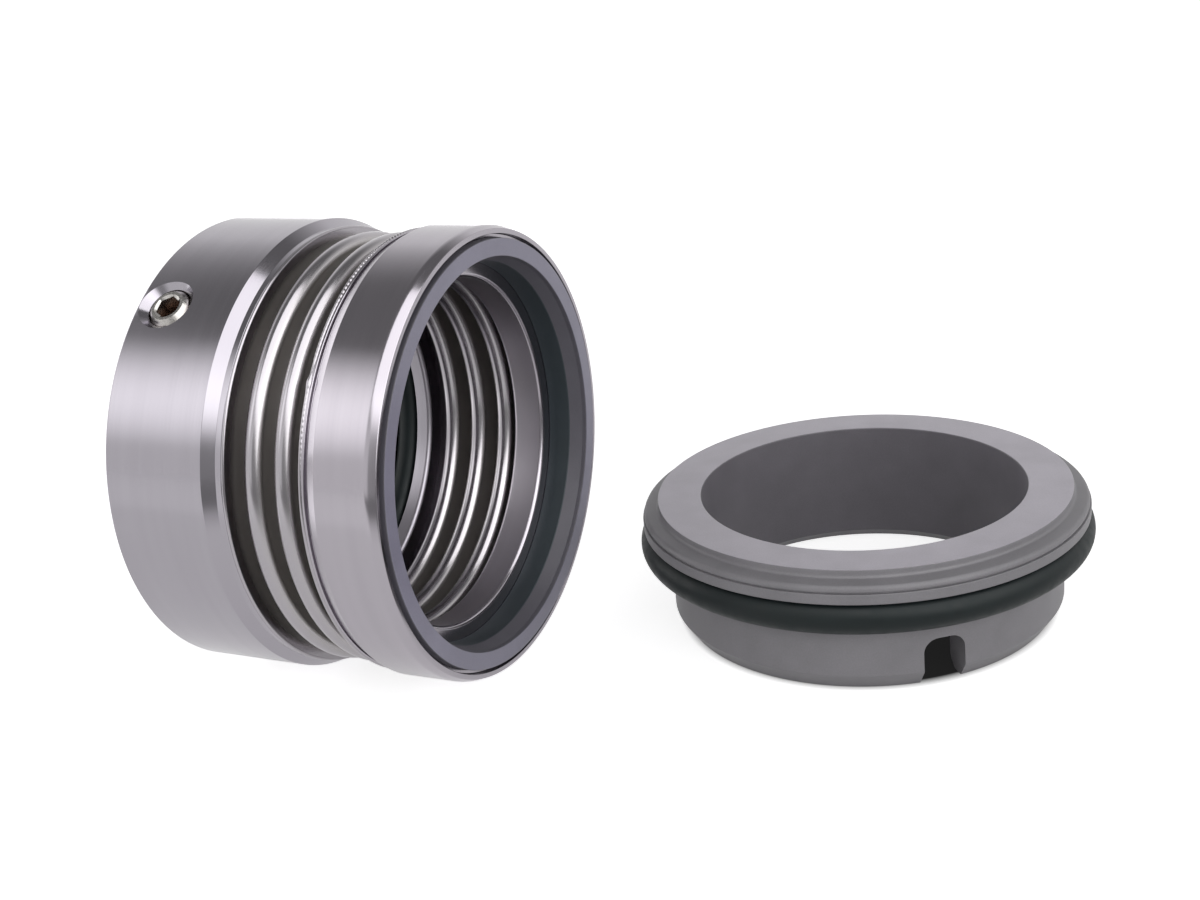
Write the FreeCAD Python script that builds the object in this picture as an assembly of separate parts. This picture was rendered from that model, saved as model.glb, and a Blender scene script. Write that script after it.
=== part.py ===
"""Component mechanical seal for a 45 mm shaft: a metal bellows rotary unit and its stationary seat.

The rotary unit lies on its side along X, with its running face towards +X. The seat lies flat
beside it, with its lapped face up. Millimetres, +Z up. The origin is on the floor, under the
middle of the set's bounding box.
"""
import FreeCAD
import Part
import math
import os

V = FreeCAD.Vector

# Shaft that the seal runs on
shaft_d = 45.0
shaft_clearance = 0.03          # radial, collar bore over shaft

# Drive collar: turned from bar, clamped to the shaft by its set screws
collar_d = 62.2
collar_length = 17.5            # back face to the weld face
collar_back_chamfer = 0.4
collar_bevel = 1.5              # length of the bevel in front of the cylinder
collar_land_d = 60.1            # thin land that the bellows is welded to
collar_land_length = 1.0
collar_edge_round = 0.25
collar_dish_depth = 1.7         # hollow behind the first bellows leg
collar_lip_clearance = 0.4      # radial, front lip of the bore over the shaft
collar_lip_length = 2.3
collar_lip_round = 0.6
weld_land_width = 1.6           # radial width of both weld faces

# Shaft O-ring, in a groove of the collar's bore, at its fitted size
shaft_ring_cord = 3.5
shaft_ring_side_clearance = 0.35

# Set screws: M6 grub screws with hexagon socket and cup point, evenly spaced round the collar
screw_count = 3
screw_d = 6.0
screw_length = 8.0
screw_from_back = 4.3
screw_first_angle = 54.0        # above the side that faces -Y
screw_thread_clearance = 0.03
screw_back_off = 0.15           # cup point, outside the bore's wall
screw_end_chamfer = 0.7
screw_socket_across_flats = 3.0
screw_socket_depth = 3.0
screw_cup_d = 3.4
screw_cup_depth = 0.8
countersink_d = 7.5

# Bellows: rolled from thin tube, with an end leg welded to the collar and one to the face holder
crest_count = 2
bellows_pitch = 4.5
bellows_wall = 0.3
bellows_crest_d = 58.7
bellows_root_d = 47.1

# Face holder: turned ring that carries the insert
holder_d = 61.0
holder_length = 10.95           # weld face to the front rim
holder_lip_d = 59.8
holder_lip_length = 0.5
holder_groove_d = 58.7
holder_groove_width = 0.5
holder_back_bevel = 1.3
holder_front_bevel = 1.2
holder_front_bevel_depth = 0.45
holder_dish_depth = 0.75
holder_web_d = 47.0             # bore of the web that backs the insert
holder_web_length = 4.8
holder_web_round = 0.6
holder_mouth_gap = 0.55         # radial relief round the insert at the rim
holder_mouth_depth = 1.0

# Seal face insert: hard ring, pressed into the holder
insert_d = 57.6
insert_nose = 0.35              # stands proud of the rim
insert_nose_bore_d = 52.8
insert_nose_bore_length = 0.65
insert_cone_length = 1.9
insert_bore_d = 51.4
insert_edge = 0.2
insert_back_chamfer = 0.5

# Stationary seat: silicon carbide ring
seat_bore_d = 45.4
seat_height = 18.15
seat_face_d = 57.8              # lapped running face
seat_nose_height = 1.0
seat_nose_fillet = 0.5
seat_flange_d = 62.3
seat_shoulder_drop = 0.5        # slope of the ledge round the nose
seat_shoulder_wall = 0.7
seat_shoulder_round = 0.7
seat_shoulder_d = 61.9
seat_line_width = 0.2           # thin groove between shoulder and flange
seat_line_depth = 0.25
seat_flange_bottom = 14.25      # height of the flange's underside
seat_flange_round = 0.25
seat_spigot_d = 55.0
seat_foot_d = 51.8
seat_foot_chamfer = 2.3
seat_bore_chamfer = 1.3
seat_edge = 0.15

# Notch in the seat's foot, for the housing's anti-rotation pin
notch_width = 5.7
notch_height = 6.9
notch_round = 2.0
notch_angle = 38.3              # from -Y towards +X

# Seat O-ring, in a shallow groove of the spigot, against the flange's underside
seat_ring_cord = 4.6
seat_groove_depth = 0.4
seat_groove_side_clearance = 0.15       # below the cord; above, the ring touches the flange

# Where the seat stands beside the rotary unit, from the centre of the holder's rim
seat_ahead = 40.6
seat_beside = 30.2

# Worked out from the sizes above
collar_r = collar_d / 2
bore_r = shaft_d / 2 + shaft_clearance
lip_r = shaft_d / 2 + collar_lip_clearance
collar_land_r = collar_land_d / 2
dish_face = collar_length - collar_dish_depth
groove_width = shaft_ring_cord + 2 * shaft_ring_side_clearance
groove_front = dish_face - collar_lip_length
groove_back = groove_front - groove_width
groove_r = bore_r + shaft_ring_cord
bend_r = bellows_pitch / 4
leg_count = 2 * crest_count + 2
crest_centre_r = bellows_crest_d / 2 - bellows_wall / 2 - bend_r
root_centre_r = bellows_root_d / 2 + bellows_wall / 2 + bend_r
bellows_length = bellows_wall + (leg_count - 1) * bellows_pitch / 2
holder_back = collar_length + bellows_length
rim = holder_back + holder_length
holder_lip_r = holder_lip_d / 2
web_back = holder_back + holder_dish_depth
pocket_floor = web_back + holder_web_length
insert_r = insert_d / 2
running_face = rim + insert_nose
flange_r = seat_flange_d / 2
seat_bore_r = seat_bore_d / 2
shoulder_r = seat_shoulder_d / 2
spigot_r = seat_spigot_d / 2
seat_groove_r = spigot_r - seat_groove_depth
seat_groove_bottom = seat_flange_bottom - seat_ring_cord - seat_groove_side_clearance
seat_ring_r = seat_groove_r + seat_ring_cord
set_length = rim + seat_ahead + seat_ring_r
set_width = collar_r + seat_beside + seat_ring_r
rotary_at = V(-set_length / 2, collar_r - set_width / 2, collar_r)
seat_at = V(rotary_at.x + rim + seat_ahead, rotary_at.y + seat_beside, 0)


def profile_face(points, at):
    """Closed face through (a, b) or (a, b, corner radius) points; at() lifts a pair to space."""
    count = len(points)
    starts, ends, arcs = [], [], []
    for i, point in enumerate(points):
        here = V(point[0], point[1], 0)
        radius = point[2] if len(point) == 3 else 0
        if not radius:
            starts.append(here)
            ends.append(here)
            arcs.append(None)
            continue
        before = (V(*points[i - 1][:2], 0) - here).normalize()
        after = (V(*points[(i + 1) % count][:2], 0) - here).normalize()
        half = before.getAngle(after) / 2
        inward = (before + after).normalize()
        starts.append(here + before * (radius / math.tan(half)))
        ends.append(here + after * (radius / math.tan(half)))
        arcs.append(here + inward * (radius / math.sin(half) - radius))
    edges = []
    for i in range(count):
        if arcs[i]:
            edges.append(Part.Arc(at(starts[i]), at(arcs[i]), at(ends[i])).toShape())
        following = starts[(i + 1) % count]
        if (following - ends[i]).Length > 1e-6:
            edges.append(Part.makeLine(at(ends[i]), at(following)))
    return Part.Face(Part.Wire(edges))


def turned_x(points):
    """Solid turned about X, from (x, radius) points."""
    face = profile_face(points, lambda p: V(p.x, 0, p.y))
    return face.revolve(V(0, 0, 0), V(1, 0, 0), 360)


def turned_z(points):
    """Solid turned about Z, from (radius, z) points."""
    face = profile_face(points, lambda p: V(p.x, 0, p.y))
    return face.revolve(V(0, 0, 0), V(0, 0, 1), 360)


def hexagon_prism(across_flats, bottom, top):
    """Six-sided prism on Z, with two of its corners on Y."""
    corner_r = across_flats / math.sqrt(3)
    angles = [math.radians(60 * k + 30) for k in range(6)]
    corners = [V(corner_r * math.cos(angle), corner_r * math.sin(angle), bottom) for angle in angles]
    outline = Part.makePolygon(corners + corners[:1])
    return Part.Face(outline).extrude(V(0, 0, top - bottom))


def on_screw_line(shape, number):
    """Moves a shape on Z, with the unit's axis as its foot, to the line of one set screw."""
    placed = shape.copy()
    angle = screw_first_angle + number * 360 / screw_count
    # +Z is turned about X to the side facing -Y, then up by the angle
    placed.rotate(V(0, 0, 0), V(1, 0, 0), 90 - angle)
    placed.translate(V(screw_from_back, 0, 0))
    return placed


def drive_collar():
    """Bored and grooved body, with a tapped and countersunk hole for each set screw."""
    body = turned_x([
        (0, bore_r + collar_back_chamfer),
        (0, collar_r - collar_back_chamfer),
        (collar_back_chamfer, collar_r),
        (collar_length - collar_land_length - collar_bevel, collar_r),
        (collar_length - collar_land_length, collar_land_r),
        (collar_length, collar_land_r, collar_edge_round),
        (collar_length, collar_land_r - weld_land_width),
        (dish_face, collar_land_r - weld_land_width, collar_lip_round),
        (dish_face, lip_r, collar_lip_round),
        (groove_front, lip_r),
        (groove_front, groove_r),
        (groove_back, groove_r),
        (groove_back, bore_r),
        (collar_back_chamfer, bore_r),
    ])
    hole = Part.makeCylinder(screw_d / 2, collar_r, V(0, 0, bore_r / 2))
    sink_r = countersink_d / 2
    # the cone is a little deeper than the cylinder's surface drops across the hole
    surface_drop = collar_r - math.sqrt(collar_r ** 2 - sink_r ** 2)
    sink_depth = sink_r - screw_d / 2 + surface_drop
    sink = Part.makeCone(screw_d / 2, screw_d / 2 + 2 * sink_depth, 2 * sink_depth, V(0, 0, collar_r - sink_depth))
    for number in range(screw_count):
        body = body.cut(on_screw_line(hole.fuse(sink), number))
    return body


def shaft_o_ring():
    """Rubber ring that seals the collar on the shaft."""
    ring = Part.makeTorus(bore_r + shaft_ring_cord / 2, shaft_ring_cord / 2, V(0, 0, 0), V(1, 0, 0))
    ring.translate(V((groove_back + groove_front) / 2, 0, 0))
    return ring


def set_screw(number):
    """Grub screw: chamfered ends, hexagon socket outside, cup point inside."""
    screw_r = screw_d / 2 - screw_thread_clearance
    foot = bore_r + screw_back_off
    head = foot + screw_length
    screw = turned_z([
        (0, foot + screw_cup_depth),
        (screw_cup_d / 2, foot),
        (screw_r - screw_end_chamfer, foot),
        (screw_r, foot + screw_end_chamfer),
        (screw_r, head - screw_end_chamfer),
        (screw_r - screw_end_chamfer, head),
        (0, head),
    ])
    socket = hexagon_prism(screw_socket_across_flats, head - screw_socket_depth, head + screw_end_chamfer)
    return on_screw_line(screw.cut(socket), number)


def leg_x(i):
    """Middle of the wall of one bellows leg."""
    return collar_length + bellows_wall / 2 + i * bellows_pitch / 2


def bellows_side(side):
    """Edges of one face of the bellows' wall, rear to front; side is -1 for the bore's, 1 for the outer."""
    edges = []
    for i in range(leg_count):
        down = i % 2 == 0
        upper = crest_centre_r
        if i == 0:
            upper = collar_land_r
        if i == leg_count - 1:
            upper = holder_lip_r
        x = leg_x(i) + side * bellows_wall / 2
        first, last = (upper, root_centre_r) if down else (root_centre_r, upper)
        edges.append(Part.makeLine(V(x, 0, first), V(x, 0, last)))
        if i < leg_count - 1:
            radius = bend_r - side * bellows_wall / 2
            tip = last - radius if down else last + radius
            middle = leg_x(i) + bend_r
            edges.append(Part.Arc(V(x, 0, last), V(middle, 0, tip), V(middle + radius, 0, last)).toShape())
        side = -side
    return edges


def bellows():
    """One thin wall, folded into round roots and crests."""
    first, last = leg_x(0), leg_x(leg_count - 1)
    half = bellows_wall / 2
    edges = bellows_side(-1) + bellows_side(1)
    edges.append(Part.makeLine(V(first - half, 0, collar_land_r), V(first + half, 0, collar_land_r)))
    edges.append(Part.makeLine(V(last - half, 0, holder_lip_r), V(last + half, 0, holder_lip_r)))
    wire = Part.Wire(Part.__sortEdges__(edges))
    return Part.Face(wire).revolve(V(0, 0, 0), V(1, 0, 0), 360)


def face_holder():
    """Ring with a thin weld lip at the back and a pocket for the insert in front."""
    groove_start = holder_back + holder_lip_length
    body_start = groove_start + holder_groove_width
    return turned_x([
        (holder_back, holder_lip_r - weld_land_width),
        (holder_back, holder_lip_r),
        (groove_start, holder_lip_r),
        (groove_start, holder_groove_d / 2),
        (body_start, holder_groove_d / 2),
        (body_start, holder_lip_r),
        (body_start + holder_back_bevel, holder_d / 2),
        (rim - holder_front_bevel, holder_d / 2),
        (rim, holder_d / 2 - holder_front_bevel_depth),
        (rim, insert_r + holder_mouth_gap),
        (rim - holder_mouth_depth, insert_r + holder_mouth_gap),
        (rim - holder_mouth_depth, insert_r),
        (pocket_floor, insert_r),
        (pocket_floor, holder_web_d / 2, holder_web_round),
        (web_back, holder_web_d / 2, holder_web_round),
        (web_back, holder_lip_r - weld_land_width, holder_web_round),
    ])


def face_insert():
    """Running ring: narrow nose in front, wider body behind an inner cone."""
    nose_back = running_face - insert_nose_bore_length
    return turned_x([
        (pocket_floor, insert_bore_d / 2),
        (pocket_floor, insert_r - insert_back_chamfer),
        (pocket_floor + insert_back_chamfer, insert_r),
        (running_face - insert_edge, insert_r),
        (running_face, insert_r - insert_edge),
        (running_face, insert_nose_bore_d / 2 + insert_edge),
        (running_face - insert_edge, insert_nose_bore_d / 2),
        (nose_back, insert_nose_bore_d / 2),
        (nose_back - insert_cone_length, insert_bore_d / 2),
    ])


def notch_cutter():
    """Round-topped slot, open at the foot, that runs out through one side of the ring."""
    half = notch_width / 2
    # the slot starts inside the bore and ends beyond the flange
    outline = profile_face([
        (-half, -1),
        (-half, notch_height, notch_round),
        (half, notch_height, notch_round),
        (half, -1),
    ], lambda p: V(p.x, 0, p.y))
    slot = outline.extrude(V(0, -flange_r, 0))
    slot.rotate(V(0, 0, 0), V(0, 0, 1), notch_angle)
    return slot


def seat_ring():
    """Flanged ring with a lapped face on top, a spigot below and the notch in its foot."""
    nose_foot = seat_height - seat_nose_height
    wall_top = nose_foot - seat_shoulder_drop
    line_top = wall_top - seat_shoulder_wall
    line_bottom = line_top - seat_line_width
    ring = turned_z([
        (seat_bore_r + seat_bore_chamfer, 0),
        (seat_foot_d / 2, 0),
        (spigot_r, seat_foot_chamfer),
        (spigot_r, seat_groove_bottom),
        (seat_groove_r, seat_groove_bottom),
        (seat_groove_r, seat_flange_bottom),
        (flange_r, seat_flange_bottom, seat_flange_round),
        (flange_r, line_bottom),
        (shoulder_r - seat_line_depth, line_bottom),
        (shoulder_r - seat_line_depth, line_top),
        (shoulder_r, line_top),
        (shoulder_r, wall_top, seat_shoulder_round),
        (seat_face_d / 2, nose_foot, seat_nose_fillet),
        (seat_face_d / 2, seat_height - seat_edge),
        (seat_face_d / 2 - seat_edge, seat_height),
        (seat_bore_r + seat_edge, seat_height),
        (seat_bore_r, seat_height - seat_edge),
        (seat_bore_r, seat_bore_chamfer),
    ])
    return ring.cut(notch_cutter())


def seat_o_ring():
    """Rubber ring that seals the seat in its housing."""
    return Part.makeTorus(seat_groove_r + seat_ring_cord / 2, seat_ring_cord / 2,
                          V(0, 0, seat_flange_bottom - seat_ring_cord / 2), V(0, 0, 1))


rotary_unit = {
    "drive_collar": drive_collar(),
    "shaft_o_ring": shaft_o_ring(),
    "bellows": bellows(),
    "face_holder": face_holder(),
    "face_insert": face_insert(),
}
for n in range(screw_count):
    rotary_unit[f"set_screw_{n + 1}"] = set_screw(n)
stationary_unit = {
    "seat_ring": seat_ring(),
    "seat_o_ring": seat_o_ring(),
}

os.makedirs("parts", exist_ok=True)
for pieces, place in ((rotary_unit, rotary_at), (stationary_unit, seat_at)):
    for name, shape in pieces.items():
        shape.translate(place)
        shape.exportStep(f"parts/{name}.step")
        box = shape.BoundBox
        print(f"{name}: solids {len(shape.Solids)}, valid {shape.isValid()}, volume {shape.Volume:.1f}, "
              f"x {box.XMin:.2f} {box.XMax:.2f}, y {box.YMin:.2f} {box.YMax:.2f}, z {box.ZMin:.2f} {box.ZMax:.2f}")
print(f"rotary unit's back face at {rotary_at.x:.3f}, axis at y {rotary_at.y:.3f}, z {rotary_at.z:.3f}; "
      f"rim at {rotary_at.x + rim:.3f}; seat at {seat_at.x:.3f}, {seat_at.y:.3f}")
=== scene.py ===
import math

import bmesh
import bpy
from mathutils import Matrix, Vector


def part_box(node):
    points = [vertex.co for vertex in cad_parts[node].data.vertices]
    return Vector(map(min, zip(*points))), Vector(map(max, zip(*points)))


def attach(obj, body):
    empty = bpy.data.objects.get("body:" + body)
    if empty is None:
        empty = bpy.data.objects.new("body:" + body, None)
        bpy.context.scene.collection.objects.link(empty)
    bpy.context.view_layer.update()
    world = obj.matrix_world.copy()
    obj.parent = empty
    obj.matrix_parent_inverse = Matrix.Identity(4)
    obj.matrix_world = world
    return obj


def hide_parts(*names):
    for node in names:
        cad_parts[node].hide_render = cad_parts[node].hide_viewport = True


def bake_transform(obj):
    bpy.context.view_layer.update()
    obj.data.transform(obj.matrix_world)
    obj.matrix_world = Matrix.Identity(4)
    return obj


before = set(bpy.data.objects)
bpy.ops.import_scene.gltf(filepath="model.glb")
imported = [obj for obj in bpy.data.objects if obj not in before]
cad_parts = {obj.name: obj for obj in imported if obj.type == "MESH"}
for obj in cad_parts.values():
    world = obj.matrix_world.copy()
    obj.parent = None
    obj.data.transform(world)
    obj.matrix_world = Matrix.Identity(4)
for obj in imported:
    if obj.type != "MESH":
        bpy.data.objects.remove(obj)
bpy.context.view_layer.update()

scene = bpy.context.scene


# Drive collar: a stainless steel ring, turned from bar, that the set screws clamp to the shaft.
# The lathe leaves fine rings all over it. Its front is turned down to a thin land, which the
# bellows is welded to, and its bore has a groove for the shaft O-ring.
mm = 0.001
collar_low, collar_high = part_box("drive_collar")
unit_x = collar_low.x
unit_y = (collar_low.y + collar_high.y) / 2
unit_z = (collar_low.z + collar_high.z) / 2
# a turned piece's own Z is its axis; here it lies along X, with its own X up and its own Y to the front
rotary = Matrix(((0, 0, 1, unit_x), (0, -1, 0, unit_y), (1, 0, 0, unit_z), (0, 0, 0, 1)))

collar_r = (collar_high.z - collar_low.z) / 2 / mm
collar_length = 17.5
collar_bevel = 1.5
collar_land_r = 30.05
collar_land_length = 1.0
weld_land_width = 1.6
dish_face = 15.8
bore_r = 22.53
lip_r = 22.9
groove_back = 9.3
groove_front = 13.5
groove_r = 26.03
screw_angles = [54.0 + turn for turn in (0, 120, 240)]     # above the front side
screw_from_back = 4.3
screw_r = 3.0
countersink_r = 3.75
edge_break = 0.12
sharp_break = 0.1
back_break = 0.3
bevel_break = 0.15
land_break = 0.25
dish_round = 0.6
steps_round = 288


def rounded(corners, edge=edge_break, steps=4):
    """Outline through (along, radius) or (along, radius, rounding) corners, in mm, each turned to an arc."""
    points = []
    for i, corner in enumerate(corners):
        here = Vector(corner[:2])
        rounding = corner[2] if len(corner) == 3 else edge
        before = (Vector(corners[i - 1][:2]) - here).normalized()
        after = (Vector(corners[(i + 1) % len(corners)][:2]) - here).normalized()
        half = before.angle(after) / 2
        centre = here + (before + after).normalized() * (rounding / math.sin(half))
        start = here + before * (rounding / math.tan(half)) - centre
        end = here + after * (rounding / math.tan(half)) - centre
        points += [centre + start.slerp(end, k / steps).normalized() * rounding for k in range(steps + 1)]
    return points


def skinned(name, rows, place, closed=True):
    """Mesh over rows of points in mm; the rows close into a ring, or else the end rows close to a point."""
    count = len(rows[0])
    points = [point for row in rows for point in row]
    faces = []
    for j in range(len(rows) if closed else len(rows) - 1):
        here, there = j * count, (j + 1) % len(rows) * count
        for i in range(count):
            k = (i + 1) % count
            faces.append((here + i, here + k, there + k, there + i))
    if not closed:
        for start, turn in ((0, -1), (count * (len(rows) - 1), 1)):
            middle = sum((Vector(p) for p in points[start:start + count]), Vector((0, 0, 0))) / count
            points.append(middle)
            for i in range(count):
                ends = (start + i, start + (i + 1) % count)[::turn]
                faces.append((*ends, len(points) - 1))
    mesh = bpy.data.meshes.new(name)
    mesh.from_pydata([place @ (Vector(p) * mm) for p in points], [], faces)
    shell = bmesh.new()
    shell.from_mesh(mesh)
    bmesh.ops.recalc_face_normals(shell, faces=shell.faces)
    shell.to_mesh(mesh)
    shell.free()
    piece = bpy.data.objects.new(name, mesh)
    scene.collection.objects.link(piece)
    return piece


def circle_row(along, radius, count=steps_round):
    """One ring of points about the turning axis."""
    angles = [2 * math.pi * i / count for i in range(count)]
    return [(radius * math.cos(a), radius * math.sin(a), along) for a in angles]


def turned(name, outline, place, count=steps_round):
    """Ring turned from its outline."""
    return skinned(name, [circle_row(along, radius, count) for along, radius in outline], place)


def applied(piece):
    """Gives the piece the mesh that its modifiers show, as its own."""
    bpy.context.view_layer.update()
    shape = piece.evaluated_get(bpy.context.evaluated_depsgraph_get())
    piece.data = bpy.data.meshes.new_from_object(shape)
    piece.modifiers.clear()


def settled(piece, sharp=35):
    """Shades the faces smooth between sharp edges, and keeps flat faces flat."""
    applied(piece)
    piece.data.shade_smooth()
    piece.data.set_sharp_from_angle(angle=math.radians(sharp))
    even = piece.modifiers.new("even normals", "WEIGHTED_NORMAL")
    even.keep_sharp = True
    applied(piece)


def cut(piece, cutter):
    """Takes the cutter's solid out of the piece."""
    tool = piece.modifiers.new("cut", "BOOLEAN")
    tool.operation = "DIFFERENCE"
    tool.solver = "EXACT"
    tool.object = cutter
    applied(piece)
    bpy.data.objects.remove(cutter)


def screw_line(angle):
    """Place of a set screw: its own Z runs out from the unit's axis, through the collar's wall."""
    turn = Matrix.Rotation(math.radians(90 - angle), 4, "Z")
    lift = Matrix(((0, 0, 1, 0), (0, 1, 0, 0), (-1, 0, 0, screw_from_back * mm), (0, 0, 0, 1)))
    return rotary @ turn @ lift


def srgb(code):
    """Linear colour of a hex code."""
    levels = [int(code[i:i + 2], 16) / 255 for i in (1, 3, 5)]
    return (*(v / 12.92 if v <= 0.04045 else ((v + 0.055) / 1.055) ** 2.4 for v in levels), 1)


def material_of(name):
    """Empty node material."""
    material = bpy.data.materials.new(name)
    material.use_nodes = True
    material.node_tree.nodes.clear()
    return material


def add(owner, kind, inputs=None, **settings):
    """Adds a node to a material, a lamp or the world; an input is a value or the socket to link."""
    node = owner.node_tree.nodes.new("ShaderNode" + kind)
    for name, value in settings.items():
        setattr(node, name, value)
    for name, value in (inputs or {}).items():
        if isinstance(value, bpy.types.NodeSocket):
            owner.node_tree.links.new(value, node.inputs[name])
        else:
            node.inputs[name].default_value = value
    return node


def round_axis(material, place):
    """Place about a turning axis, in mm: (along, radius, unit vector outwards)."""
    to_unit = place.inverted()
    local = add(material, "Mapping", {
        "Vector": add(material, "TexCoord").outputs["Object"],
        "Location": to_unit.translation / mm,
        "Rotation": to_unit.to_euler(),
        "Scale": (1 / mm, 1 / mm, 1 / mm),
    }).outputs["Vector"]
    across = add(material, "VectorMath", {0: local, 1: (1, 1, 0)}, operation="MULTIPLY").outputs["Vector"]
    along = add(material, "SeparateXYZ", {"Vector": local}).outputs["Z"]
    radius = add(material, "VectorMath", {0: across}, operation="LENGTH").outputs["Value"]
    outwards = add(material, "VectorMath", {0: across}, operation="NORMALIZE").outputs["Vector"]
    return along, radius, outwards


def tool_rings(material, where, line, arc, detail=3):
    """Noise drawn out round the axis, as a tool leaves it: line mm wide and about arc mm long."""
    along, radius, outwards = where
    mean_r = 28
    run = add(material, "Math", {0: along, 1: radius}, operation="ADD").outputs[0]
    step = add(material, "Math", {0: run, 1: line}, operation="DIVIDE").outputs[0]
    rise = add(material, "CombineXYZ", {"Z": step}).outputs["Vector"]
    sweep = add(material, "VectorMath", {0: outwards, "Scale": mean_r / arc}, operation="SCALE")
    point = add(material, "VectorMath", {0: sweep.outputs["Vector"], 1: rise}, operation="ADD")
    noise = add(material, "TexNoise", {
        "Vector": point.outputs["Vector"],
        "Scale": 1,
        "Detail": detail,
        "Roughness": 0.6,
    })
    return noise.outputs[0]


def turned_stainless(name, place, bright, dull):
    """Stainless steel, finish turned: soft along its axis, sharp round it, from the rings of the tool."""
    feed_line = 0.3         # the real feed is about 0.1 mm, drawn coarser so that it shows
    tool_arc = 60
    chatter_line = 2.2
    ring_height = 0.0007
    bored_r = 23.53         # up to this radius the surface is bored, which leaves it duller
    bored_fade = 0.07
    bored_rough = 0.3
    turned_rough = 0.12
    material = material_of(name)
    where = round_axis(material, place)
    fine = tool_rings(material, where, feed_line, tool_arc)
    broad = tool_rings(material, where, chatter_line, tool_arc / 2, detail=1)
    colour = add(material, "Mix", {"Factor": broad, "A": srgb(dull), "B": srgb(bright)}, data_type="RGBA")
    base_rough = add(material, "MapRange", {
        "Value": where[1],
        "From Min": bored_r,
        "From Max": bored_r + bored_fade,
        "To Min": bored_rough,
        "To Max": turned_rough,
    })
    rough = add(material, "Math", {0: fine, 1: 0.1, 2: base_rough.outputs[0]}, operation="MULTIPLY_ADD")
    height = add(material, "Bump", {"Height": fine, "Strength": 1, "Distance": ring_height * mm})
    shader = add(material, "BsdfPrincipled", {
        "Base Color": colour.outputs["Result"],
        "Metallic": 1,
        "Roughness": rough.outputs[0],
        "Normal": height.outputs["Normal"],
        "Anisotropic": 0.4,
        "Anisotropic Rotation": 0.25,
        "Tangent": add(material, "Tangent", direction_type="RADIAL", axis="X").outputs["Tangent"],
    })
    add(material, "OutputMaterial", {"Surface": shader.outputs["BSDF"]})
    return material


collar = turned("collar_ring", rounded([
    (0, bore_r, back_break),
    (0, collar_r, back_break),
    (collar_length - collar_land_length - collar_bevel, collar_r, bevel_break),
    (collar_length - collar_land_length, collar_land_r, sharp_break),
    (collar_length, collar_land_r, land_break),
    (collar_length, collar_land_r - weld_land_width),
    (dish_face, collar_land_r - weld_land_width, dish_round),
    (dish_face, lip_r, dish_round),
    (groove_front, lip_r),
    (groove_front, groove_r),
    (groove_back, groove_r),
    (groove_back, bore_r),
]), rotary)
sink_depth = countersink_r - screw_r + collar_r - math.sqrt(collar_r ** 2 - countersink_r ** 2)
for angle in screw_angles:
    cut(collar, skinned("screw_hole", [circle_row(z, r, 64) for z, r in (
        (bore_r / 2, screw_r),
        (collar_r - sink_depth, screw_r),
        (collar_r + sink_depth, screw_r + 2 * sink_depth),
    )], screw_line(angle), closed=False))
settled(collar)
collar.data.materials.append(turned_stainless("turned stainless collar", rotary, "#ACA8AF", "#A5A1A8"))
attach(collar, "drive_end")
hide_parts("drive_collar")


# Set screws: M6 grub screws of stainless steel, with a 3 mm hexagon socket for the key and a cup
# point that bites the shaft. Three are screwed into the collar's tapped and countersunk holes.
thread_pitch = 1.0
thread_depth = 0.5
screw_length = 8.0
screw_recess = 0.15
thread_play = 0.03
screw_foot = bore_r + screw_recess
screw_body_r = screw_r - thread_play
screw_chamfer = 0.7
cup_r = 1.7
cup_depth = 0.8
socket_flats = 3.0
socket_depth = 3.0
socket_lead_r = 1.85
socket_lead = 0.25
drill_tip = 0.5
tip_r = 0.05
thread_steps = 8
screw_steps = 96


def thread_row(z):
    """Ring of points on the thread, its ends chamfered."""
    end = min(z, screw_length - z)
    limit = screw_body_r - max(0, screw_chamfer - end)
    row = []
    for i in range(screw_steps):
        turn = i / screw_steps
        phase = (z / thread_pitch - turn) % 1
        radius = min(limit, screw_body_r - thread_depth * (1 - abs(2 * phase - 1)))
        row.append((radius * math.cos(2 * math.pi * turn), radius * math.sin(2 * math.pi * turn), z))
    return row


def hexagon_row(z):
    """Ring of points on the socket's hexagon."""
    row = []
    for i in range(screw_steps):
        angle = 2 * math.pi * i / screw_steps
        radius = socket_flats / 2 / math.cos((angle + math.pi / 6) % (math.pi / 3) - math.pi / 6)
        row.append((radius * math.cos(angle), radius * math.sin(angle), z))
    return row


def machined_stainless(name, place):
    """Stainless steel, machined: bright, pitted and rubbed from handling, darker and browner deep in the
    socket.
    """
    grain = 0.25            # the real pits are finer, drawn coarser so that they show
    pit_height = 0.004
    socket_brown_starts = 0.3        # below the screw's flat end
    socket_brown_full = 1.4
    material = material_of(name)
    radius = round_axis(material, place)[1]
    point = add(material, "TexCoord").outputs["Object"]
    specks = add(material, "TexNoise", {"Vector": point, "Scale": 1 / (grain * mm), "Detail": 4}).outputs[0]
    steel = add(material, "Mix", {
        "Factor": specks,
        "A": srgb("#A8A5A2"),
        "B": srgb("#D2CFCB"),
    }, data_type="RGBA")
    plain_steel_share = add(material, "MapRange", {
        "Value": radius,
        "From Min": screw_foot + screw_length - socket_brown_full,
        "From Max": screw_foot + screw_length - socket_brown_starts,
    })
    # darker and browner from below the screw's flat end inwards, in the socket
    colour = add(material, "Mix", {
        "Factor": plain_steel_share.outputs["Result"],
        "A": srgb("#8A7A70"),
        "B": steel.outputs["Result"],
    }, data_type="RGBA")
    rough = add(material, "MapRange", {
        "Value": specks,
        "From Min": 0.3,
        "From Max": 0.7,
        "To Min": 0.16,
        "To Max": 0.34,
    })
    height = add(material, "Bump", {"Height": specks, "Strength": 0.6, "Distance": pit_height * mm})
    shader = add(material, "BsdfPrincipled", {
        "Base Color": colour.outputs["Result"],
        "Metallic": 1,
        "Roughness": rough.outputs["Result"],
        "Normal": height.outputs["Normal"],
    })
    add(material, "OutputMaterial", {"Surface": shader.outputs["BSDF"]})
    return material


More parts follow.
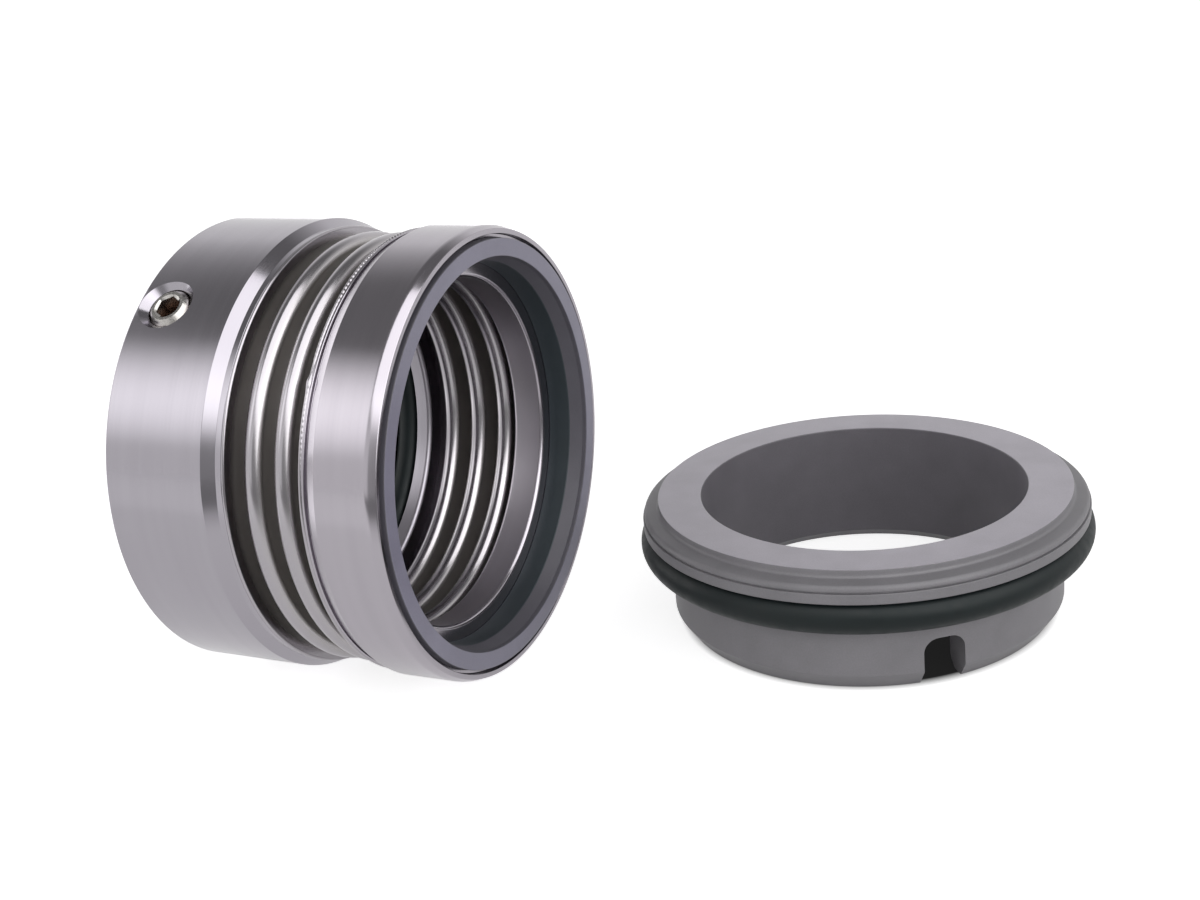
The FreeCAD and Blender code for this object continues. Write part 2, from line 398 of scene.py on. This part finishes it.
screw_steel = machined_stainless("machined stainless screw", rotary)
for number, angle in enumerate(screw_angles, 1):
    rows = [circle_row(cup_depth, tip_r, screw_steps), circle_row(0, cup_r, screw_steps)]
    thread_rows = int(thread_steps * screw_length / thread_pitch) + 1
    rows += [thread_row(k * thread_pitch / thread_steps) for k in range(thread_rows)]
    rows += [circle_row(screw_length, socket_lead_r, screw_steps)]
    rows += [hexagon_row(screw_length - socket_lead), hexagon_row(screw_length - socket_depth)]
    rows += [circle_row(screw_length - socket_depth - drill_tip, tip_r, screw_steps)]
    screw_place = screw_line(angle) @ Matrix.Translation((0, 0, screw_foot * mm))
    screw = skinned(f"grub_screw_{number}", rows, screw_place, closed=False)
    settled(screw, sharp=30)
    screw.data.materials.append(screw_steel)
    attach(screw, "drive_end")
    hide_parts(f"set_screw_{number}")


# Shaft O-ring: moulded fluoroelastomer, near black with a green cast and satin from the mould.
# It is pressed into the groove of the collar's bore and seals on the shaft.
shaft_low, shaft_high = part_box("shaft_o_ring")
shaft_ring_middle = ((shaft_low.x + shaft_high.x) / 2 - unit_x) / mm
shaft_cord_r = (shaft_high.x - shaft_low.x) / 2 / mm


def cord_outline(middle, centre_r, cord_r, count=48):
    """Round section of an O-ring."""
    angles = [2 * math.pi * i / count for i in range(count)]
    return [(middle + cord_r * math.sin(a), centre_r + cord_r * math.cos(a)) for a in angles]


def moulded_rubber(name, place):
    """Fluoroelastomer, moulded: satin, with a soft mottle where it was dusted and handled."""
    mottle = 1.6
    pore = 0.12             # the real pores are finer, drawn coarser so that they show
    pore_height = 0.006
    material = material_of(name)
    point = add(material, "TexCoord").outputs["Object"]
    cloud = add(material, "TexNoise", {"Vector": point, "Scale": 1 / (mottle * mm), "Detail": 3}).outputs[0]
    pores = add(material, "TexNoise", {"Vector": point, "Scale": 1 / (pore * mm), "Detail": 2}).outputs[0]
    colour = add(material, "Mix", {
        "Factor": cloud,
        "A": srgb("#0E1516"),
        "B": srgb("#161F20"),
    }, data_type="RGBA")
    rough = add(material, "MapRange", {
        "Value": cloud,
        "From Min": 0.3,
        "From Max": 0.7,
        "To Min": 0.42,
        "To Max": 0.56,
    })
    height = add(material, "Bump", {"Height": pores, "Strength": 0.5, "Distance": pore_height * mm})
    shader = add(material, "BsdfPrincipled", {
        "Base Color": colour.outputs["Result"],
        "Roughness": rough.outputs["Result"],
        "IOR": 1.36,
        "Normal": height.outputs["Normal"],
    })
    add(material, "OutputMaterial", {"Surface": shader.outputs["BSDF"]})
    return material


rubber = moulded_rubber("moulded fluoroelastomer", rotary)
shaft_cord = cord_outline(shaft_ring_middle, bore_r + shaft_cord_r, shaft_cord_r)
shaft_ring = turned("shaft_ring", shaft_cord, rotary)
settled(shaft_ring)
shaft_ring.data.materials.append(rubber)
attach(shaft_ring, "drive_end")
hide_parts("shaft_o_ring")


# Bellows: one thin stainless tube, rolled into round folds, which seals and springs at once.
# Its end legs are welded to the collar's land and to the holder's lip. The rolled wall is bright
# on its bends, and duller on the legs between them, which are painted lighter against the shade in the
# folds.
bellows_low, bellows_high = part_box("bellows")
bellows_start = (bellows_low.x - unit_x) / mm
bellows_end = (bellows_high.x - unit_x) / mm
crest_r = 29.35
root_r = 23.55
bellows_wall = 0.3
bellows_legs = 6
leg_inset = 0.1                 # mm that an end leg stops short of the edge it is welded to
bellows_pitch = 2 * (bellows_end - bellows_start - bellows_wall) / (bellows_legs - 1)
bend_r = bellows_pitch / 4
crest_centre_r = crest_r - bellows_wall / 2 - bend_r
root_centre_r = root_r + bellows_wall / 2 + bend_r
holder_lip_r = 29.9
bend_steps = 18


def bellows_side(side):
    """Points along one face of the wall, from the collar to the holder."""
    points = []
    for leg in range(bellows_legs):
        down = leg % 2 == 0
        middle = bellows_start + bellows_wall / 2 + leg * bellows_pitch / 2
        top = crest_centre_r
        if leg == 0:
            top = collar_land_r - leg_inset
        if leg == bellows_legs - 1:
            top = holder_lip_r - leg_inset
        first, last = (top, root_centre_r) if down else (root_centre_r, top)
        points.append((middle + side * bellows_wall / 2, first))
        if leg < bellows_legs - 1:
            radius = bend_r - side * bellows_wall / 2
            for k in range(bend_steps):
                angle = math.pi * k / bend_steps
                swing = -radius * math.sin(angle) if down else radius * math.sin(angle)
                points.append((middle + bend_r - radius * math.cos(angle), last + swing))
        else:
            points.append((middle + side * bellows_wall / 2, last))
        side = -side
    return points


def rolled_stainless(name, place):
    """Thin stainless steel, rolled: bright on the bends, duller on the legs and painted lighter there
    against the shade in the folds, with faint lines round it.
    """
    roller_line = 0.35      # the real lines are finer, drawn coarser so that they show
    roller_arc = 90
    line_height = 0.0012
    leg_ends = 0.22         # from the middle of the folds' depth, as a share of it
    bend_starts = 0.45
    leg_rough = 0.45
    bend_rough = 0.15
    material = material_of(name)
    where = round_axis(material, place)
    lines = tool_rings(material, where, roller_line, roller_arc)
    depth = add(material, "MapRange", {"Value": where[1], "From Min": root_r, "From Max": crest_r})
    colour = add(material, "ValToRGB", {"Fac": depth.outputs["Result"]})
    stops = colour.color_ramp.elements
    for bend in (stops[0], stops[1]):
        bend.color = srgb("#AEAAAF")
    # painted light: the legs, deep in the folds, are painted lighter than the bends, against the shade there
    for share in (0.25, 0.75):
        stops.new(share).color = srgb("#B9B6B3")
    off_middle = add(material, "Math", {0: depth.outputs["Result"], 1: 0.5}, operation="SUBTRACT")
    from_middle = add(material, "Math", {0: off_middle.outputs[0]}, operation="ABSOLUTE")
    dull = add(material, "MapRange", {
        "Value": from_middle.outputs[0],
        "From Min": leg_ends,
        "From Max": bend_starts,
        "To Min": leg_rough,
        "To Max": bend_rough,
    })
    rough = add(material, "Math", {0: lines, 1: 0.1, 2: dull.outputs["Result"]}, operation="MULTIPLY_ADD")
    height = add(material, "Bump", {"Height": lines, "Strength": 1, "Distance": line_height * mm})
    shader = add(material, "BsdfPrincipled", {
        "Base Color": colour.outputs["Color"],
        "Metallic": 1,
        "Roughness": rough.outputs[0],
        "Normal": height.outputs["Normal"],
    })
    add(material, "OutputMaterial", {"Surface": shader.outputs["BSDF"]})
    return material


bellows_steel = rolled_stainless("rolled stainless bellows", rotary)
folds = turned("bellows_folds", bellows_side(-1) + bellows_side(1)[::-1], rotary)
settled(folds)
folds.data.materials.append(bellows_steel)
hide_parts("bellows")
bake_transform(folds)


# Weld beads: the outer edge of each end leg is melted into the collar's land and the holder's lip,
# without filler. The torch leaves a thin bright bead, and on the front one fine ripples and a small
# overlap, where the weld ends on its own start.
bead_r = 0.26
bead_sink = 0.05                # mm that its middle lies inside the leg's outer face
back_bead_inset = 0.2           # mm that its middle lies inside the welded edge
front_bead_inset = 0.12
bead_steps = 14
ripple_steps = 8
ripple_pitch = 0.7
ripple_height = 0.04
overlap_angle = 128             # up from the lowest point, at the front
overlap_arc = 1.2
overlap_swell = 0.22


def weld_bead(name, along, radius, body, ripple, overlap):
    """Thin ring over one welded edge; its ripples come and go, and are gone on its lower half."""
    ripples = round(2 * math.pi * radius / ripple_pitch)
    count = ripple_steps * ripples
    rows = []
    for j in range(bead_steps):
        a = 2 * math.pi * j / bead_steps
        row = []
        for i in range(count):
            turn = 2 * math.pi * i / count
            beat = 0.6 + 0.4 * math.sin(7 * turn + math.sin(11 * turn))
            upper = max(0, 0.15 + 0.85 * math.cos(turn)) ** 2
            wave = math.sin(ripples * turn + math.cos(a) + 2 * math.sin(5 * turn))
            swell = bead_r + ripple * (beat * upper) * wave
            past = (turn - math.radians(180 - overlap_angle)) * radius / overlap_arc
            swell += overlap * past * math.exp(0.5 - past ** 2)
            r = radius + swell * math.cos(a)
            row.append((r * math.cos(turn), r * math.sin(turn), along + swell * math.sin(a)))
        rows.append(row)
    bead = skinned(name, rows, rotary)
    settled(bead)
    bead.data.materials.append(bellows_steel)
    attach(bead, body)


weld_bead("weld_bead_back", bellows_start + bead_sink, collar_land_r - back_bead_inset, "drive_end",
          ripple=0, overlap=0)
weld_bead("weld_bead_front", bellows_end - bead_sink, holder_lip_r - front_bead_inset, "face_end",
          ripple=ripple_height, overlap=overlap_swell)


# Face holder: a turned stainless ring that carries the insert. Behind its rim it is a plain
# cylinder, and at the back a narrow groove sets off the thin lip that takes the weld.
holder_low, holder_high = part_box("face_holder")
holder_back = (holder_low.x - unit_x) / mm
rim = (holder_high.x - unit_x) / mm
holder_r = (holder_high.z - holder_low.z) / 2 / mm
holder_lip_length = 0.5
holder_groove_r = 29.35
holder_groove_width = 0.5
holder_back_bevel = 1.3
rim_bevel = 1.2
rim_bevel_depth = 0.45
holder_dish_depth = 0.75
web_r = 23.5
web_thickness = 4.8
insert_r = 28.8
mouth_gap = 0.55
mouth_depth = 1.0
holder_lip_break = 0.05
holder_groove_round = 0.08
holder_bevel_break = 0.2
rim_round = 2
web_round = 0.6
web_back = holder_back + holder_dish_depth
pocket_floor = web_back + web_thickness
shoulder = holder_back + holder_lip_length + holder_groove_width
holder = turned("holder_ring", rounded([
    (holder_back, holder_lip_r - weld_land_width),
    (holder_back, holder_lip_r, holder_lip_break),
    (holder_back + holder_lip_length, holder_lip_r),
    (holder_back + holder_lip_length, holder_groove_r, holder_groove_round),
    (shoulder, holder_groove_r, holder_groove_round),
    (shoulder, holder_lip_r),
    (shoulder + holder_back_bevel, holder_r, holder_bevel_break),
    (rim - rim_bevel, holder_r, rim_round),
    (rim, holder_r - rim_bevel_depth, holder_bevel_break),
    (rim, insert_r + mouth_gap, sharp_break),
    (rim - mouth_depth, insert_r + mouth_gap, sharp_break),
    (rim - mouth_depth, insert_r, sharp_break),
    (pocket_floor, insert_r, holder_lip_break),
    (pocket_floor, web_r, web_round),
    (web_back, web_r, web_round),
    (web_back, holder_lip_r - weld_land_width, web_round),
]), rotary)
settled(holder)
holder.data.materials.append(turned_stainless("turned stainless holder", rotary, "#B3AEB5", "#ABA6AD"))
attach(holder, "face_end")
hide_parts("face_holder")


# Face insert: sintered silicon carbide, ground all over and pressed into the holder's pocket.
# Its narrow front face is lapped flat and runs on the seat.
running_face = (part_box("face_insert")[1].x - unit_x) / mm
insert_bore_r = 25.7
nose_bore_r = 26.4
nose_bore_length = 0.65
insert_cone = 1.9
insert_foot_break = 0.4
lapped_break = 0.15


def silicon_carbide(name, place, lapped, bore, tones):
    """Sintered silicon carbide: painted dark in its bore as shade, grey where ground, smooth where lapped,
    and pale there, partly from its finish and partly as painted light.
    """
    grit = 0.18             # the real grains are finer, drawn coarser so that they show
    cloud_size = 5
    wheel_line = 0.4        # so are the lines of the grinding wheel
    wheel_arc = 25
    mark_height = 0.003
    lapped_rough = 0.3
    face_depth = 0.03
    bore_skin = 0.05
    material = material_of(name)
    where = round_axis(material, place)
    along, radius = where[:2]
    point = add(material, "TexCoord").outputs["Object"]
    grains = add(material, "TexNoise", {"Vector": point, "Scale": 1 / (grit * mm), "Detail": 3}).outputs[0]
    cloud = add(material, "TexNoise", {"Vector": point, "Scale": 1 / (cloud_size * mm), "Detail": 2})
    wheel = tool_rings(material, where, wheel_line, wheel_arc)
    on_face = add(material, "Math", {0: along, 1: lapped - face_depth}, operation="GREATER_THAN").outputs[0]
    bore_shade_mask = add(material, "Math", {0: radius, 1: bore + bore_skin}, operation="LESS_THAN").outputs[0]
    # the bore's tone is painted shade; the lapped face's pale tone is partly its finish and partly painted
    # light
    bore_painted_shade_tone, ground_tone, lapped_and_lit_tone = (srgb(tone) for tone in tones)
    body = add(material, "Mix", {"Factor": bore_shade_mask, "A": ground_tone, "B": bore_painted_shade_tone}, data_type="RGBA")
    face = add(material, "Mix", {
        "Factor": on_face,
        "A": body.outputs["Result"],
        "B": lapped_and_lit_tone,
    }, data_type="RGBA")
    mottle = add(material, "Math", {0: cloud.outputs[0], 1: grains}, operation="ADD")
    patch = add(material, "MapRange", {
        "Value": mottle.outputs[0],
        "From Min": 0.5,
        "From Max": 1.5,
        "To Min": 0.86,
        "To Max": 1.14,
    })
    colour = add(material, "VectorMath", {
        0: face.outputs["Result"],
        "Scale": patch.outputs[0],
    }, operation="SCALE")
    rough = add(material, "MapRange", {
        "Value": grains,
        "From Min": 0.3,
        "From Max": 0.7,
        "To Min": 0.42,
        "To Max": 0.52,
    })
    smooth = add(material, "Mix", {
        "Factor": on_face,
        "A": rough.outputs["Result"],
        "B": lapped_rough,
    }, data_type="FLOAT")
    marks = add(material, "Math", {0: grains, 1: wheel}, operation="ADD").outputs[0]
    height = add(material, "Bump", {"Height": marks, "Strength": 0.7, "Distance": mark_height * mm})
    shader = add(material, "BsdfPrincipled", {
        "Base Color": colour.outputs["Vector"],
        "Roughness": smooth.outputs["Result"],
        "IOR": 1.5,
        "Normal": height.outputs["Normal"],
    })
    add(material, "OutputMaterial", {"Surface": shader.outputs["BSDF"]})
    return material


insert = turned("running_ring", rounded([
    (pocket_floor, insert_bore_r),
    (pocket_floor, insert_r, insert_foot_break),
    (running_face, insert_r, lapped_break),
    (running_face, nose_bore_r, lapped_break),
    (running_face - nose_bore_length, nose_bore_r, sharp_break),
    (running_face - nose_bore_length - insert_cone, insert_bore_r, sharp_break),
]), rotary)
settled(insert)
insert_tones = ("#30393E", "#58565E", "#827F90")        # bore with painted shade, ground, lapped and partly painted light
insert.data.materials.append(silicon_carbide(
    "sintered carbide insert", rotary, running_face, insert_bore_r, insert_tones))
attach(insert, "face_end")
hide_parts("face_insert")


# Seat ring: sintered silicon carbide, the half that stands still in the pump's cover. Its raised
# top face is lapped, its flange backs the O-ring, and a notch in its foot takes the cover's pin.
seat_low, seat_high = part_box("seat_ring")
seat_x = (seat_low.x + seat_high.x) / 2
seat_y = (seat_low.y + seat_high.y) / 2
seat_place = Matrix.Translation((seat_x, seat_y, seat_low.z))
seat_height = (seat_high.z - seat_low.z) / mm
flange_r = (seat_high.x - seat_low.x) / 2 / mm
seat_bore_r = 22.7
seat_face_r = 28.9
seat_nose_height = 1.0
seat_nose_fillet = 0.5
shoulder_drop = 0.5
shoulder_wall = 0.7
shoulder_round = 0.7
shoulder_r = 30.95
line_width = 0.2
line_depth = 0.25
flange_bottom = 14.25
seat_groove_bottom = 9.5
seat_groove_r = 27.1
spigot_r = 27.5
foot_r = 25.9
foot_chamfer = 2.3
bore_chamfer = 1.3
notch_width = 5.7
notch_height = 6.9
notch_round = 2.0
notch_angle = 38.3              # to the right of the front
foot_break = 0.2
bore_break = 0.2
spigot_round = 0.4
spigot_break = 0.08
groove_corner = 0.05
flange_break = 0.25
line_corner = 0.04
line_break = 0.08
nose_foot = seat_height - seat_nose_height
wall_top = nose_foot - shoulder_drop
line_top = wall_top - shoulder_wall
line_bottom = line_top - line_width
seat = turned("stationary_seat", rounded([
    (0, seat_bore_r + bore_chamfer),
    (0, foot_r, foot_break),
    (foot_chamfer, spigot_r, spigot_round),
    (seat_groove_bottom, spigot_r, spigot_break),
    (seat_groove_bottom, seat_groove_r, groove_corner),
    (flange_bottom, seat_groove_r, groove_corner),
    (flange_bottom, flange_r, flange_break),
    (line_bottom, flange_r, sharp_break),
    (line_bottom, shoulder_r - line_depth, line_corner),
    (line_top, shoulder_r - line_depth, line_corner),
    (line_top, shoulder_r, line_break),
    (wall_top, shoulder_r, shoulder_round),
    (nose_foot, seat_face_r, seat_nose_fillet),
    (seat_height, seat_face_r, lapped_break),
    (seat_height, seat_bore_r, bore_break),
    (bore_chamfer, seat_bore_r),
]), seat_place)
half_notch = notch_width / 2
below_foot = -1
notch_outline = rounded([
    (half_notch, below_foot),
    (half_notch, notch_height, notch_round),
    (-half_notch, notch_height, notch_round),
    (-half_notch, below_foot),
], edge=0.01, steps=8)
notch_place = seat_place @ Matrix.Rotation(math.radians(notch_angle), 4, "Z")
notch_rows = [[(x, -depth, z) for x, z in notch_outline] for depth in (1, flange_r)]
cut(seat, skinned("notch", notch_rows, notch_place, closed=False))
settled(seat)
seat_tones = ("#6C696F", "#7F7D81", "#B5B0BA")          # bore with painted shade, ground, lapped and partly painted light
seat.data.materials.append(silicon_carbide(
    "sintered carbide seat", seat_place, seat_height, seat_bore_r, seat_tones))
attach(seat, "drive_end")
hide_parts("seat_ring")


# Seat O-ring: the same moulded fluoroelastomer, stretched over the spigot and pushed up under
# the flange. It seals the seat in the cover and holds it there.
ring_low, ring_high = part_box("seat_o_ring")
seat_ring_middle = (ring_low.z + ring_high.z) / 2 / mm
seat_cord_r = (ring_high.z - ring_low.z) / 2 / mm
seat_ring_r = (ring_high.x - ring_low.x) / 2 / mm
seat_cord = cord_outline(seat_ring_middle, seat_ring_r - seat_cord_r, seat_cord_r)
seat_ring = turned("seat_ring_cord", seat_cord, seat_place)
settled(seat_ring)
seat_ring.data.materials.append(rubber)
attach(seat_ring, "drive_end")
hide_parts("seat_o_ring")


# Floor: matt white card. It shows white to the camera and in the metal, and keeps a soft shadow.
# Painted reflection: it glows for the metal only, brighter at the left and in front, and is painted darker
# towards the camera.
# In the seat's bore, by the notch, it is painted dark: a painted shadow of the front wall.
def towards(bearing, elevation):
    """Unit vector at a bearing to the right of the front and at an elevation, in degrees."""
    turn, rise = math.radians(bearing), math.radians(elevation)
    return Vector((math.cos(rise) * math.sin(turn), -math.cos(rise) * math.cos(turn), math.sin(rise)))


floor_half = 2.0                # m
plain_glow = 0.42               # painted reflection: light the floor gives off for the metal only
front_glow = 0.52
front_line = -145               # mm along Y, where the front part starts
front_fade = 4
left_glow = 0.9
left_edge = (-100, -150)        # mm along X, over which the left part comes in
left_side = (-105, -65)         # and along Y
seen_glow = 0.74                # what the camera sees of the floor's own light
dim_bearing = 60                # the side of the camera, where the floor is painted darker in the metal's reflections
dim_reach = (55, 140)           # mm that way, over which it darkens
dim_floor = 0.75
far_offset = 14                 # mm from the seat's axis, away from the notch
shade_reach = (19, 28)          # mm from that point, over which the painted shadow by the notch comes in
shade_depth = 0.985
seat_inside = (27, 25)          # mm from the seat's axis, over which its inside starts
card = material_of("matt white card")
rays = add(card, "LightPath")
spot = add(card, "TexCoord").outputs["Object"]
across_floor = add(card, "SeparateXYZ", {"Vector": spot})
in_front = add(card, "MapRange", {
    "Value": across_floor.outputs["Y"],
    "From Min": (front_line + front_fade) * mm,
    "From Max": (front_line - front_fade) * mm,
    "To Min": plain_glow,
    "To Max": front_glow,
})
at_left = add(card, "MapRange", {
    "Value": across_floor.outputs["X"],
    "From Min": left_edge[0] * mm,
    "From Max": left_edge[1] * mm,
    "To Max": left_glow,
})
beside = add(card, "MapRange", {
    "Value": across_floor.outputs["Y"],
    "From Min": left_side[0] * mm,
    "From Max": left_side[1] * mm,
})
patch = add(card, "Math", {
    0: at_left.outputs[0],
    1: beside.outputs[0],
    2: in_front.outputs[0],
}, operation="MULTIPLY_ADD")
# painted reflection: the floor glows for glossy rays only, more at the left and in front
painted_reflection_glow = add(card, "Math", {0: rays.outputs["Is Glossy Ray"], 1: patch.outputs[0]}, operation="MULTIPLY")
straight = add(card, "Math", {
    0: rays.outputs["Is Camera Ray"],
    1: rays.outputs["Is Transmission Ray"],
}, operation="MAXIMUM")
seen = add(card, "Math", {0: straight.outputs[0], 1: seen_glow}, operation="MULTIPLY")
full_glow = add(card, "Math", {0: seen.outputs[0], 1: painted_reflection_glow.outputs[0]}, operation="ADD")
# painted reflection: towards the camera the floor is painted darker for glossy rays, in colour and glow
outwards = add(card, "VectorMath", {0: spot, 1: towards(dim_bearing, 0)}, operation="DOT_PRODUCT")
painted_dark_reflection = add(card, "MapRange", {
    "Value": outwards.outputs["Value"],
    "From Min": dim_reach[0] * mm,
    "From Max": dim_reach[1] * mm,
    "To Max": dim_floor,
})
side = add(card, "Math", {0: rays.outputs["Is Glossy Ray"], 1: painted_dark_reflection.outputs[0]}, operation="MULTIPLY")
# painted shadow: inside the seat's bore, by the notch, the floor is painted dark in colour and glow
from_seat = add(card, "VectorMath", {0: spot, 1: (seat_x, seat_y, 0)}, operation="SUBTRACT")
from_axis = add(card, "VectorMath", {0: from_seat.outputs["Vector"]}, operation="LENGTH")
inside = add(card, "MapRange", {
    "Value": from_axis.outputs["Value"],
    "From Min": seat_inside[0] * mm,
    "From Max": seat_inside[1] * mm,
})
far_point = Vector((seat_x, seat_y, 0)) - towards(notch_angle, 0) * far_offset * mm
from_far = add(card, "VectorMath", {0: spot, 1: far_point}, operation="DISTANCE")
near_notch = add(card, "MapRange", {
    "Value": from_far.outputs["Value"],
    "From Min": shade_reach[0] * mm,
    "From Max": shade_reach[1] * mm,
    "To Max": shade_depth,
}, interpolation_type="SMOOTHSTEP")
painted_notch_shadow = add(card, "Math", {0: inside.outputs[0], 1: near_notch.outputs[0]}, operation="MULTIPLY")
shade = add(card, "Math", {0: side.outputs[0], 1: painted_notch_shadow.outputs[0]}, operation="MAXIMUM")
light_left = add(card, "Math", {0: 1, 1: shade.outputs[0]}, operation="SUBTRACT")
colour_left = add(card, "Mix", {
    "Factor": shade.outputs[0],
    "A": srgb("#E4E4E4"),
    "B": (0, 0, 0, 1),
}, data_type="RGBA")
glow = add(card, "Math", {0: full_glow.outputs[0], 1: light_left.outputs[0]}, operation="MULTIPLY")
card_shader = add(card, "BsdfPrincipled", {
    "Base Color": colour_left.outputs["Result"],
    "Roughness": 0.9,
    "Specular IOR Level": 0,
    "Emission Color": (1, 1, 1, 1),
    "Emission Strength": glow.outputs[0],
})
add(card, "OutputMaterial", {"Surface": card_shader.outputs["BSDF"]})
floor_mesh = bpy.data.meshes.new("floor")
floor_drop = 0.02               # mm below the set, so that no faces coincide
corners = ((-1, -1), (1, -1), (1, 1), (-1, 1))
floor_mesh.from_pydata([(x * floor_half, y * floor_half, -floor_drop * mm) for x, y in corners],
                       [], [(0, 1, 2, 3)])
floor_mesh.materials.append(card)
floor = bpy.data.objects.new("floor", floor_mesh)
scene.collection.objects.link(floor)


# Studio: a pale wall all round and a dark ceiling, which together give the metal its bands. A big
# lamp behind a diffuser, left of the camera, fades out softly at its edge, and a lit card stands
# further round to the left. Low down behind the camera the room is dim. The camera sees white.
lamp_middle = towards(-44, 29)
lamp_edge = math.radians(34)
lamp_glow = 1.95
card_middle = towards(-98, 8)
card_edge = math.radians(36)
card_glow = 2.2
wall_glow = 0.93
ceiling_glow = 0.2
wall_top_height = 0.47          # sine of the elevation where the wall starts to darken
ceiling_height = 0.79
dim_middle = towards(32, 3)
dim_core = math.radians(20)
dim_edge = math.radians(38)
dim_share = 0.42
world = bpy.data.worlds.new("studio")
world.use_nodes = True
world.node_tree.nodes.clear()
scene.world = world
heading = add(world, "TexCoord").outputs["Generated"]
height_seen = add(world, "SeparateXYZ", {"Vector": heading}).outputs["Z"]
plain_wall = add(world, "MapRange", {
    "Value": height_seen,
    "From Min": wall_top_height,
    "From Max": ceiling_height,
    "To Min": wall_glow,
    "To Max": ceiling_glow,
})
to_dim = add(world, "VectorMath", {0: heading, 1: dim_middle}, operation="DOT_PRODUCT")
dim = add(world, "MapRange", {
    "Value": to_dim.outputs["Value"],
    "From Min": math.cos(dim_edge),
    "From Max": math.cos(dim_core),
    "To Min": 1,
    "To Max": dim_share,
}, interpolation_type="SMOOTHSTEP")
wall = add(world, "Math", {0: plain_wall.outputs[0], 1: dim.outputs[0]}, operation="MULTIPLY")
to_lamp = add(world, "VectorMath", {0: heading, 1: lamp_middle}, operation="DOT_PRODUCT")
closeness = add(world, "MapRange", {
    "Value": to_lamp.outputs["Value"],
    "From Min": math.cos(lamp_edge),
    "From Max": 1,
})
falloff = add(world, "Math", {0: closeness.outputs[0], 1: 2}, operation="POWER")
diffuser = add(world, "Math", {0: falloff.outputs[0], 1: lamp_glow}, operation="MULTIPLY")
to_card = add(world, "VectorMath", {0: heading, 1: card_middle}, operation="DOT_PRODUCT")
lit_card = add(world, "MapRange", {
    "Value": to_card.outputs["Value"],
    "From Min": math.cos(card_edge),
    "From Max": 1,
    "To Max": card_glow,
}, interpolation_type="SMOOTHSTEP")
wall_or_lamp = add(world, "Math", {0: wall.outputs[0], 1: diffuser.outputs[0]}, operation="MAXIMUM")
brightest = add(world, "Math", {0: wall_or_lamp.outputs[0], 1: lit_card.outputs[0]}, operation="MAXIMUM")
shown = add(world, "Mix", {
    "Factor": add(world, "LightPath").outputs["Is Camera Ray"],
    "A": brightest.outputs[0],
    "B": 1,
}, data_type="FLOAT")
sky = add(world, "Background", {"Color": (1, 1, 1, 1), "Strength": shown.outputs["Result"]})
add(world, "OutputWorld", {"Surface": sky.outputs["Background"]})


# Softboxes: a large one high on the right lights what shines, and shows in the bevels and folds.
# Its edges are crisp, but it falls off towards its lower left end. A smaller one below it lights
# what is matt.
def softbox(name, bearing, elevation, roll, distance, width, height, radiance, on_matt):
    """Area light at a bearing from the front, aimed at the middle of the set; sizes are in m."""
    dark_to = -0.92         # along its width, from its middle
    full_from = -0.46
    light = bpy.data.lights.new(name, "AREA")
    light.shape = "RECTANGLE"
    light.size = width
    light.size_y = height
    light.energy = radiance * math.pi * width * height
    lamp = bpy.data.objects.new(name, light)
    away = towards(bearing, elevation)
    aim = away.to_track_quat("Z", "Y").to_matrix() @ Matrix.Rotation(math.radians(roll), 3, "Z")
    lamp.matrix_world = Matrix.Translation(away * distance) @ aim.to_4x4()
    lamp.visible_diffuse = on_matt
    lamp.visible_glossy = not on_matt
    scene.collection.objects.link(lamp)
    if not on_matt:
        light.use_nodes = True
        light.node_tree.nodes.clear()
        across = add(light, "VectorMath", {
            0: add(light, "NewGeometry").outputs["Position"],
            1: aim @ Vector((1, 0, 0)),
        }, operation="DOT_PRODUCT")
        share = add(light, "MapRange", {
            "Value": across.outputs["Value"],
            "From Min": dark_to,
            "From Max": full_from,
        }, interpolation_type="SMOOTHSTEP")
        glowing = add(light, "Emission", {"Strength": share.outputs[0]})
        add(light, "OutputLight", {"Surface": glowing.outputs["Emission"]})


softbox("softbox high right", bearing=48, elevation=49.4, roll=44, distance=1.235,
        width=2.12, height=2.3, radiance=2.0, on_matt=False)
softbox("softbox right", bearing=46, elevation=22, roll=0, distance=1.1,
        width=0.7, height=0.8, radiance=2.2, on_matt=True)


# Camera: where the photographer stood, close by, a little above the set and to the right.
camera_azimuth = 26.8
camera_elevation = 20.27
camera_roll = math.radians(-5.7)
camera_distance = 235 * mm
camera_aim = Vector((-4.4, -8.5, 30.0)) * mm
back = towards(camera_azimuth, camera_elevation)
level = towards(camera_azimuth + 90, 0)
tilt = Matrix.Rotation(camera_roll, 3, back)
right = tilt @ level
up = tilt @ back.cross(level)
camera = bpy.data.objects.new("camera", bpy.data.cameras.new("camera"))
camera.data.lens = 52.5
camera.data.sensor_width = 36
turn = Matrix((right, up, back)).transposed().to_4x4()
camera.matrix_world = Matrix.Translation(camera_aim + back * camera_distance) @ turn
scene.collection.objects.link(camera)
scene.camera = camera

scene.view_settings.view_transform = "Standard"
